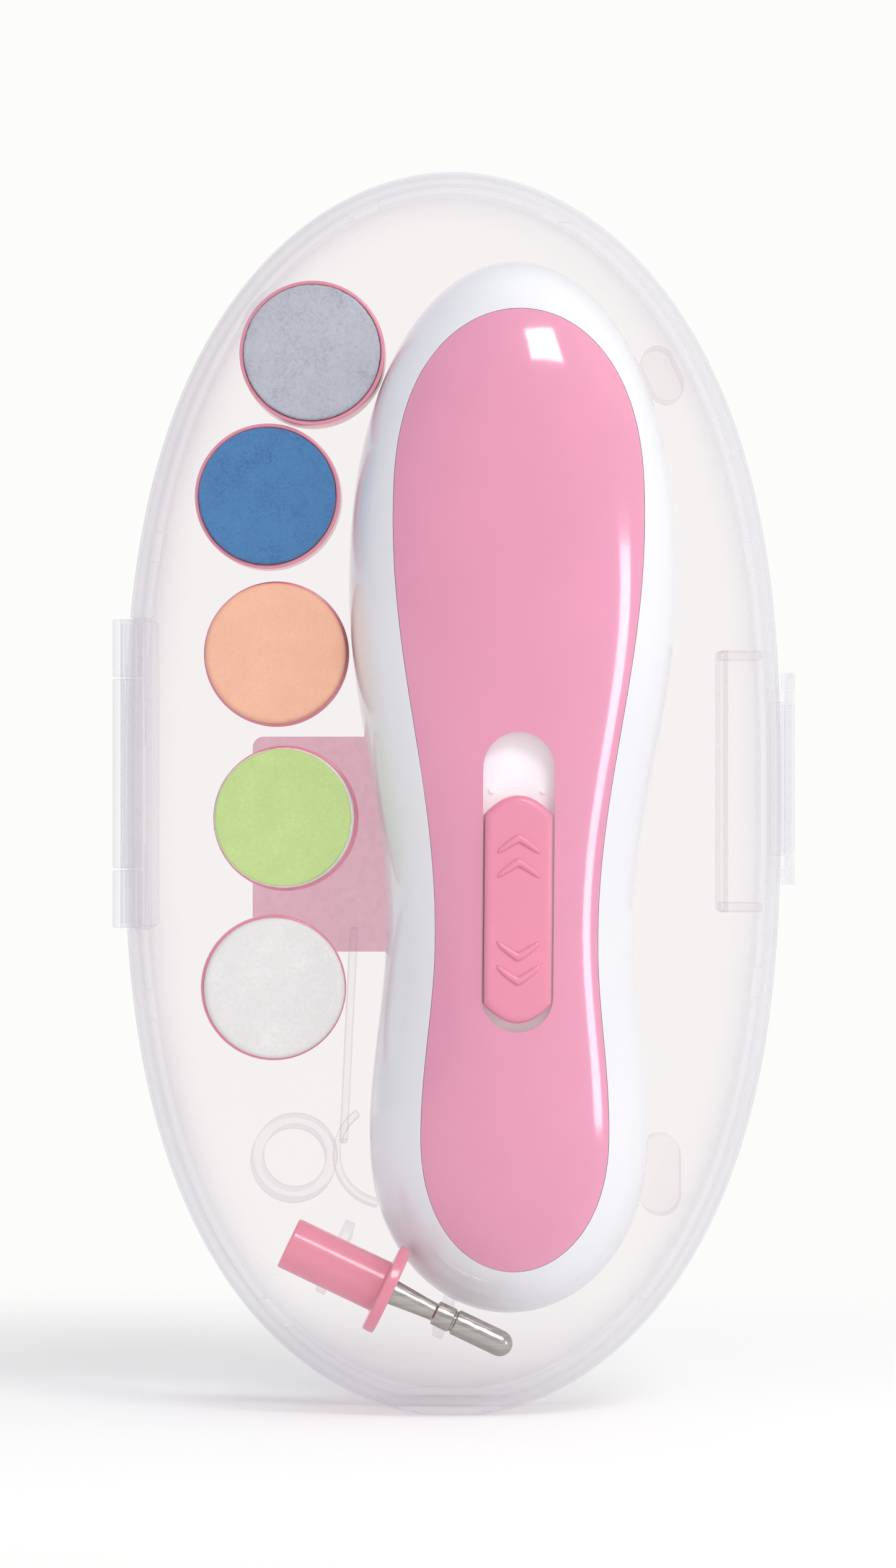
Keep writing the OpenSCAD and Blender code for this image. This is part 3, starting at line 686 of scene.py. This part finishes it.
def case_lid():
    rings = [oval(20, -17.4)] + corner(6, 5.5, -1, 1.2)[::-1]
    rings += [oval(1.5, -0.3, 1.2), oval(1.2, 0, 0.9), oval(0.3, 0), oval(0, -0.3), oval(0.3, -6)]
    rings += corner(CORNER_R, 7, -1) + [oval(20, -18.9), oval(30, -HALF_D)]
    shell = mesh_object("case_lid_shell", *loft_data([oval(30, -FLOOR_Y)] + rings), "lid",
                        "clear_case", "clear_case")
    hinge_cut(shell, -1)
    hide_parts("case_lid")
    end = KNUCKLE_LEN + HINGE_PLAY
    knuckles("case_lid", "lid", -1, [(end, HINGE_LEN - end)])
    for i, z in enumerate(EARS):
        ear = box_data((42.4, LATCH_Y - 0.95, z), (LATCH_X, LATCH_Y + 0.95, z + EAR_LEN))
        case_piece(f"latch_ear_{i + 1}", ear, "lid", mat="clear_latch")


def case_latch():
    z1 = LATCH_Z - LATCH_LEN / 2
    z2 = z1 + LATCH_LEN
    outline = [(LATCH_Y, z1)]
    r = LATCH_CORNER
    for v, turn in ((z1 + r, -90), (z2 - r, 0)):
        for k in range(9):
            a = math.radians(turn + 11.25 * k)
            outline.append((LATCH_FOOT - r + r * math.cos(a), v + r * math.sin(a)))
    outline.append((LATCH_Y, z2))
    rings = [[(x, y, z) for y, z in outline] for x in LATCH_FACES]
    flap = case_piece("case_latch_flap", loft_data(rings), "latch", "clear_latch", "clear_latch", 0.12)
    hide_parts("case_latch")
    below, above = 0.25, EAR_LEN + 0.25
    spans = [(z1, EARS[0] - below), (EARS[0] + above, EARS[1] - below), (EARS[1] + above, z2)]
    for i, (a, b) in enumerate(spans):
        barrel = [(LATCH_BARREL_R, a), (LATCH_BARREL_R, b), (LATCH_BORE, b), (LATCH_BORE, a),
                  (LATCH_BARREL_R, a)]
        m = Matrix.Translation((LATCH_X, LATCH_Y, 0))
        mesh_object(f"case_latch_barrel_{i + 1}", *lathe_data(rounded(barrel, 0.12), 32, "Z"),
                    "latch", "clear_latch", "clear_latch", m)


# ---------- handheld unit ----------

def swell(u, u1, w1, u2, w2):
    """An even curve from one half width to another."""
    return w1 + (w2 - w1) * (1 - math.cos(math.pi * (u - u1) / (u2 - u1))) / 2


def cap(t, e):
    """A rounded end: 1 where it starts and 0 at its tip."""
    return math.sqrt(max(0.0, 1 - max(0.0, t) ** e))


def half_width(u, ends, bulb, waist, shoulder, tail_e):
    if u < bulb[0]:
        return bulb[1] * cap((bulb[0] - u) / (bulb[0] - ends[0]), 2.2)
    if u < waist[0]:
        return swell(u, *bulb, *waist)
    if u < shoulder[0]:
        return swell(u, *waist, *shoulder)
    return shoulder[1] * cap((u - shoulder[0]) / (ends[1] - shoulder[0]), tail_e)


def unit_hw(u):
    return half_width(u, (0, UNIT_LEN), BULB, WAIST, SHOULDER, 2.2)


def panel_hw(u):
    return half_width(u, PANEL_ENDS, PANEL_BULB, PANEL_WAIST, PANEL_SHOULDER, 2.6)


def loop(width, u1, u2, n, grow=0.0):
    """An outline from a half width: up the right side and down the left."""
    us = [u1 + (u2 - u1) * (1 - math.cos(math.pi * i / n)) / 2 for i in range(n + 1)]
    right = [(width(u), u) for u in us]
    points = right + [(-w, u) for w, u in right[-2:0:-1]]
    if not grow:
        return points
    out = []
    for i, p in enumerate(points):
        d = Vector(points[(i + 1) % len(points)]) - Vector(points[i - 1])
        side = Vector((d.y, -d.x)).normalized()
        out.append((p[0] + side.x * grow, p[1] + side.y * grow))
    return out


def spine(u):
    return min(max(u, BULB[0]), SPINE_TOP)


def unit_ring(points, inset, level):
    """The outline drawn in toward the spine at one turn of the section, on the rear side."""
    ring = []
    for x, u in points:
        v = Vector((x, u - spine(u)))
        k = (1 - inset / v.length) * math.cos(level) ** (2 / SECTION_E)
        y = (UNIT_HT - inset) * math.sin(level) ** (2 / SECTION_E)
        ring.append((v.x * k, y, spine(u) + v.y * k))
    return ring


def depth(x, u):
    """How far the unit's surface is in front of its middle at a point of its front view."""
    low, high = 0.0, 1.0
    for _ in range(26):
        c = (low + high) / 2
        w = spine(u) + (u - spine(u)) / max(c, 1e-9)
        inside = 0 < w < UNIT_LEN and abs(x) / max(c, 1e-9) < unit_hw(w)
        low, high = (low, c) if inside else (c, high)
    t = min(1.0, (low + high) / 2)
    return UNIT_HT * (1 - t ** SECTION_E) ** (1 / SECTION_E)


def between(a, b, steps):
    """Rings of front-view points that go from one outline to another."""
    return [[(p[0] + (q[0] - p[0]) * t, p[1] + (q[1] - p[1]) * t) for p, q in zip(a, b)]
            for t in steps]


def thick_sheet(fronts, thickness):
    """A shell of even thickness over front-view rings, from the outer skin to the inner."""
    outer = [[(x, -depth(x, u), u) for x, u in ring] for ring in fronts]
    inner = [[(x, thickness - depth(x, u), u) for x, u in ring] for ring in fronts]
    return loft_data(outer + inner[::-1], closed=True)


def front_shell():
    n = 120
    outline = loop(unit_hw, 0, UNIT_LEN, n)
    rim = loop(panel_hw, *PANEL_ENDS, n, grow=0.05)
    steps = [0, 0.004, 0.015, 0.035, 0.07, 0.12, 0.2, 0.3, 0.42, 0.55, 0.68, 0.8, 0.9, 0.96, 0.99, 1]
    fronts = between(outline, rim, steps)
    outer = [[(x, -depth(x, u) if i else 0.0, u) for x, u in ring]
             for i, ring in enumerate(fronts)]
    inner = []
    for i, ring in enumerate(fronts):
        line = []
        for x, u in ring:
            v = Vector((x, u - spine(u)))
            k = 1 - SHELL_T * (1 - steps[i]) / max(v.length, 0.1)
            y = 0.0 if i == 0 else -max(0.0, depth(x, u) - SHELL_T * (0.25 + 0.75 * steps[i]))
            line.append((v.x * k, y, spine(u) + v.y * k))
        inner.append(line)
    shell = mesh_object("front_shell_skin", *loft_data(outer + inner[::-1], closed=True), "unit",
                        "white_shell", "white_shell", UNIT)
    bevel(shell, 0.12, 2, 50)
    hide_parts("front_shell")


def slot_loop(like):
    """The switch slot's outline, with one point for each point of the panel's rim."""
    out = []
    mid = SLOT_U + SLOT_LEN / 2
    for x, u in like:
        v = Vector((x, (u - mid) * 0.36))
        v.normalize()
        half = SLOT_LEN / 2 - SLOT_R
        if abs(v.y) < 1e-9 or SLOT_R / max(abs(v.x), 1e-9) * abs(v.y) <= half:
            r = SLOT_R / max(abs(v.x), 1e-9)
        else:
            k = math.copysign(half, v.y)
            b = v.y * k
            r = b + math.sqrt(max(0.0, b * b - (half * half - SLOT_R * SLOT_R)))
        out.append((v.x * r, mid + v.y * r))
    return out


def front_panel():
    n = 120
    rim = loop(panel_hw, *PANEL_ENDS, n)
    slot = slot_loop(rim)
    steps = [0, 0.01, 0.03, 0.08, 0.16, 0.28, 0.42, 0.56, 0.7, 0.82, 0.91, 0.97, 1]
    panel = mesh_object("front_panel_skin", *thick_sheet(between(rim, slot, steps), SHELL_T), "unit",
                        "pink_panel", "pink_panel", UNIT)
    bevel(panel, 0.1, 2, 45)
    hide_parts("front_panel")


def rear_half():
    """The whole rear half of the unit's skin, which the shell and the door are cut from."""
    points = loop(unit_hw, 0, UNIT_LEN, 100)
    inner = [unit_ring(points, SHELL_T, math.radians(v)) for v in LEVELS[::-1]]
    outer = [unit_ring(points, 0, math.radians(v)) for v in LEVELS]
    return loft_data(inner + outer)


def rear_shell():
    shell = mesh_object("rear_shell_skin", *rear_half(), "unit", "white_shell", "white_shell", UNIT)
    cut(shell, tool_object(*box_data((-DOOR_HW, -1, DOOR_U), (DOOR_HW, 20, UNIT_LEN + 5)), UNIT))
    hole = lathe_data([(SCREW_HOLE_R, SCREW_SEAT_Y), (SCREW_HOLE_R, 20)], 40)
    for x, u in SCREWS:
        cut(shell, tool_object(*hole, UNIT @ Matrix.Translation((x, 0, u))))
    bevel(shell, 0.15, 2, 50)
    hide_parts("rear_shell")


def battery_door():
    door = mesh_object("battery_door_skin", *rear_half(), "battery_cover", "white_shell",
                       "white_shell", UNIT)
    hw, u1 = DOOR_HW - DOOR_GAP, DOOR_U + DOOR_GAP
    for a, b in (((-40, -1, -5), (-hw, 20, 150)), ((hw, -1, -5), (40, 20, 150)),
                 ((-40, -1, -5), (40, 20, u1)), ((-40, -2, -5), (40, DOOR_GAP, 150))):
        cut(door, tool_object(*box_data(a, b), UNIT))
    bevel(door, 0.15, 2, 50)
    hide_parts("battery_door")


def slide_button():
    xs = [BUTTON_W * (i / 24 - 0.5) for i in range(25)]

    def outline(inset):
        k = 1 - 2 * inset / BUTTON_W
        low = [(x * k, 2.6 * (2 * x / BUTTON_W) ** 2 + inset) for x in xs]
        return low + [(x, BUTTON_LEN - z) for x, z in low[::-1]]

    # the button's edge rolls over into its top
    levels = ((0, BUTTON_FOOT), (0, BUTTON_TOP + 0.9), (0.08, BUTTON_TOP + 0.5),
              (0.3, BUTTON_TOP + 0.2), (0.7, BUTTON_TOP + 0.04), (1.1, BUTTON_TOP))
    rings = [[(x, y, BUTTON_U + z) for x, z in outline(inset)] for inset, y in levels]
    button = mesh_object("slide_button_cap", *loft_data(rings), "switch", "pink_button",
                         "pink_button", UNIT)
    bevel(button, 0.08, 2, 50)
    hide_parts("slide_button")
    chevrons()


def chevrons():
    """Four raised chevrons on the button, two pointing to each end."""
    mid = BUTTON_U + BUTTON_LEN / 2
    arc = [math.pi * j / 8 for j in range(-1, 10)]
    for i, (turn, shift) in enumerate([(s, d) for s in (-1, 1) for d in (5.7, 8.9)]):
        at = mid + turn * shift
        rings = []
        for k in range(-12, 13):
            x, z = 2.85 * k / 12, at + turn * (0.55 - 1.9 * abs(k / 12) ** 1.15)
            taper = 0.25 + 0.75 * math.sqrt(max(0.0, 1 - (k / 12) ** 2))
            rings.append([(x, BUTTON_TOP - 0.48 * taper * math.sin(a),
                           z + 0.6 * taper * math.cos(a)) for a in arc])
        mesh_object(f"button_chevron_{i + 1}", *loft_data(rings), "switch", "pink_button",
                    "pink_button", UNIT)


# ---------- grinding heads, bit and label ----------

def wobble(p, scale, seed):
    """Smooth unevenness from -1 to 1 at a point."""
    return noise_value(Vector((p[0] * scale + seed, p[1] * scale, p[2] * scale)))


def pad(name, head, y1, y2, r, edge, rough, look, seed):
    """A round pad: rounded front edge, and a face with real unevenness that only goes inward."""
    profile = rounded([(0.0, y1), (r, y1), (r, y2), (0.0, y2)], edge, 8)
    line = []
    for a, b in zip(profile, profile[1:]):
        n = max(1, int(math.hypot(b[0] - a[0], b[1] - a[1]) / 0.28))
        line += [(a[0] + (b[0] - a[0]) * k / n, a[1] + (b[1] - a[1]) * k / n) for k in range(n)]
    line.append(profile[-1])
    rings = []
    for q, h in line:
        ring = []
        for i in range(150):
            a = 2 * math.pi * i / 150
            p = (q * math.cos(a), h, q * math.sin(a))
            dent = rough * (0.5 + 0.5 * wobble(p, 1.6, seed))
            dent += 0.6 * rough * abs(wobble(p, 4.1, seed + 9))
            out = 1 - dent / max(r, 1) * min(1.0, q / r) ** 4
            front = max(0.0, (y2 - h) / (y2 - y1))
            ring.append((p[0] * out, h + dent * front, p[2] * out))
        rings.append(ring)
    return mesh_object(name, *loft_data(rings, caps=False), f"{head[0]}_head", look, look,
                       head_matrix(head))


def head_base(head, cup=0):
    body = [(STEM_BORE, 1), (STEM_BORE, STEM_LEN), (STEM_R, STEM_LEN), (STEM_R, 0), (BASE_R, 0)]
    if cup:
        body += [(BASE_R, -FLANGE_T - cup), (CUP_R, -FLANGE_T - cup), (CUP_R, -FLANGE_T)]
    else:
        body += [(BASE_R, -FLANGE_T)]
    body += [(0.01, -FLANGE_T), (0.01, 1), (STEM_BORE, 1)]
    base = mesh_object(f"{head[0]}_head_base_turned", *lathe_data(rounded(body, 0.35), 144),
                       f"{head[0]}_head", "head_pink", "head_pink", head_matrix(head))
    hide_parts(f"{head[0]}_head_base")


def heads():
    grey, blue, orange, green, white = HEADS
    back = -FLANGE_T
    front = back - PAD_T
    seam = front + 0.8
    for head in HEADS:
        head_base(head, CUP if head in (grey, blue) else 0)
    disc = pad("grey_pad_disc", grey, front, back, CUP_R, 0.45, 0.14, "grey_abrasive", 3)
    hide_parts("grey_pad")
    disc = pad("blue_pad_disc", blue, front, back, CUP_R, 0.4, 0.1, "blue_abrasive", 17)
    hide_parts("blue_pad")
    disc = pad("orange_pad_disc", orange, front, back, PAD_R, 0.8, 0.03, "orange_pad", 29)
    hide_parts("orange_pad")
    disc = pad("green_pad_disc", green, front, seam, PAD_R - 0.2, 0.35, 0.04, "green_pad", 41)
    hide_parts("green_pad")
    foam = pad("green_foam_disc", green, seam, back, PAD_R, 0.3, 0.1, "white_foam", 53)
    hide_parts("green_foam_ring")
    felt = pad("white_pad_disc", white, front, back, PAD_R, 0.8, 0.05, "white_felt", 67)
    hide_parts("white_pad")


def bit():
    z = BIT_STEM + BIT_DISC_T
    body = [(STEM_BORE, 0), (STEM_R, 0), (STEM_R, BIT_STEM), (BIT_DISC_R, BIT_STEM), (BIT_DISC_R, z),
            (BIT_SHANK_R, z), (BIT_SHANK_R, BIT_STEM - 2), (STEM_BORE, BIT_STEM - 2),
            (STEM_BORE, 0)]
    holder = mesh_object("bit_holder_turned", *lathe_data(rounded(body, 0.35), 128, "Z"), "bit",
                         "head_pink", "head_pink", BIT)
    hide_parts("bit_holder")
    steel = [(0.01, BIT_STEM), (BIT_SHANK_R, BIT_STEM), (BIT_SHANK_R, z), (1.7, z), (1.45, z + 3),
             (BIT_SHANK_R, z + 6.2), (1.65, z + 6.4), (1.65, z + 8.8), (1.45, z + 8.95),
             (1.45, z + 9.15), (BIT_TIP_R, z + 9.3)]
    tip_z = z + 15.85
    for k in range(10):
        a = math.radians(k * 9)
        steel.append((BIT_TIP_R * math.cos(a), tip_z + BIT_TIP_R * math.sin(a)))
    steel.append((0.01, tip_z + BIT_TIP_R))
    metal_bit = mesh_object("metal_bit_turned", *lathe_data(rounded(steel, 0.12, 3), 96, "Z"), "bit",
                            "bit_steel", "bit_steel", BIT)
    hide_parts("metal_bit")


def label():
    ring = []
    low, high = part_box("back_label")
    r = LABEL_CORNER
    x1, x2, z1, z2 = (v / MM for v in (low.x + r * MM, high.x - r * MM, low.z + r * MM,
                                       high.z - r * MM))
    for cx, cz, turn in ((x2, z2, 0), (x1, z2, 90), (x1, z1, 180), (x2, z1, 270)):
        for k in range(7):
            a = math.radians(turn + 15 * k)
            ring.append((cx + r * math.cos(a), cz + r * math.sin(a)))
    rings = [[(x, y, z) for x, z in ring] for y in LABEL_FACES]
    sheet = mesh_object("back_label_sheet", *loft_data(rings), "case", "pink_label", "pink_label")
    bevel(sheet, 0.05)
    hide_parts("back_label")


# ---------- what stays from the CAD model ----------

def finish_frame_nodes():
    """A detailed finish, and soft shading on round faces, for the parts kept from the frame."""
    slots = {p["node"]: p["material_slot"] for p in frame["record"]["subparts"]}
    for name, o in frame["nodes"].items():
        o.data.materials.clear()
        o.data.materials.append(MAT[slots[name]])
        o.data.shade_smooth()
        o.data.set_sharp_from_angle(angle=math.radians(35))


# ---------- studio ----------

def area_light(name, place, aim, size, power):
    data = bpy.data.lights.new(name, "AREA")
    data.shape = "RECTANGLE"
    data.size, data.size_y = size
    data.energy = power
    o = placed(name, data)
    o.location = place
    o.rotation_euler = (Vector(aim) - Vector(place)).to_track_quat("-Z", "Y").to_euler()


def floor_material():
    """White near the case, which takes its shadow, and the plain backdrop further out."""
    m = new_material("studio_white")
    t = m.node_tree
    out = add(t, "ShaderNodeOutputMaterial")
    b = add(t, "ShaderNodeBsdfPrincipled", Roughness=0.9)
    b.inputs["Base Color"].default_value = (0.88, 0.875, 0.865, 1)
    b.inputs["Specular IOR Level"].default_value = 0.0
    b.inputs["Emission Color"].default_value = (1.0, 1.0, 0.985, 1)
    b.inputs["Emission Strength"].default_value = 0.12
    far = add(t, "ShaderNodeEmission")
    far.inputs["Color"].default_value = (*BACKDROP, 1)
    coord = add(t, "ShaderNodeTexCoord")
    reach = add(t, "ShaderNodeVectorMath", operation="LENGTH")
    t.links.new(coord.outputs["Object"], reach.inputs[0])
    fade = add(t, "ShaderNodeMapRange", interpolation_type="SMOOTHSTEP")
    fade.inputs["From Min"].default_value = 0.08
    fade.inputs["From Max"].default_value = 0.24
    t.links.new(reach.outputs["Value"], fade.inputs["Value"])
    mix = add(t, "ShaderNodeMixShader")
    t.links.new(fade.outputs["Result"], mix.inputs["Fac"])
    t.links.new(b.outputs["BSDF"], mix.inputs[1])
    t.links.new(far.outputs["Emission"], mix.inputs[2])
    t.links.new(mix.outputs["Shader"], out.inputs["Surface"])
    return m


def studio_floor():
    angles = [math.pi * k / 32 for k in range(64)]
    ring = [(FLOOR_R * math.cos(a), FLOOR_R * math.sin(a), 0.0) for a in angles]
    me = bpy.data.meshes.new("studio_floor")
    me.from_pydata(ring, [], [tuple(range(64))])
    me.materials.append(floor_material())
    placed("studio_floor", me)


def studio_sky():
    """A pale sky that is brightest behind the case and greyer to the left."""
    world = bpy.data.worlds.new("studio")
    world.use_nodes = True
    sky = world.node_tree
    around = add(sky, "ShaderNodeTexCoord")
    way = add(sky, "ShaderNodeSeparateXYZ")
    sky.links.new(around.outputs["Generated"], way.inputs["Vector"])
    across = add(sky, "ShaderNodeMapRange")
    across.inputs["From Min"].default_value = -1.0
    sky.links.new(way.outputs["X"], across.inputs["Value"])
    tones = [(0.1, (0.55, 0.58, 0.65)), (0.45, (0.68, 0.69, 0.71)), (0.9, (0.86, 0.86, 0.85))]
    sides = ramp(sky, across.outputs["Result"], tones)
    back = add(sky, "ShaderNodeMapRange")
    back.inputs["From Min"].default_value = 0.55
    back.inputs["From Max"].default_value = 0.93
    sky.links.new(way.outputs["Y"], back.inputs["Value"])
    tone = add(sky, "ShaderNodeMix", data_type="RGBA")
    sky.links.new(back.outputs["Result"], tone.inputs["Factor"])
    sky.links.new(sides, tone.inputs[6])
    tone.inputs[7].default_value = (*BACKDROP, 1)
    sky.links.new(tone.outputs[2], sky.nodes["Background"].inputs["Color"])
    bpy.context.scene.world = world


def studio():
    studio_floor()
    studio_sky()
    area_light("key", (0.3, -0.6, 0.62), (0, 0, 0.09), (0.3, 0.24), 3.0)
    area_light("strip_right", (0.62, -0.36, 0.07), (0, 0, 0.07), (0.1, 0.17), 0.55)
    area_light("fill_left", (-0.75, -0.7, 0.5), (0, 0, 0.08), (0.6, 0.8), 0.15)
    bpy.context.scene.view_settings.view_transform = "Standard"
    # the rays pass through many clear walls, one behind another
    bpy.context.scene.cycles.transparent_max_bounces = 32


def camera():
    data = bpy.data.cameras.new("camera")
    data.sensor_fit = "HORIZONTAL"
    data.sensor_width = 36
    # a view 120.4 mm wide at 900 mm from the lens
    data.lens = data.sensor_width * 900 / 120.4
    data.clip_start = 0.05
    data.clip_end = 20
    o = placed("camera", data)
    o.location = (-0.0006, -0.9, 0.0836)
    o.rotation_euler = (math.pi / 2, 0, 0)
    bpy.context.scene.camera = o


finish_frame_nodes()
case_base()
case_lid()
case_latch()
label()
front_shell()
front_panel()
rear_shell()
battery_door()
slide_button()
heads()
bit()
studio()
camera()
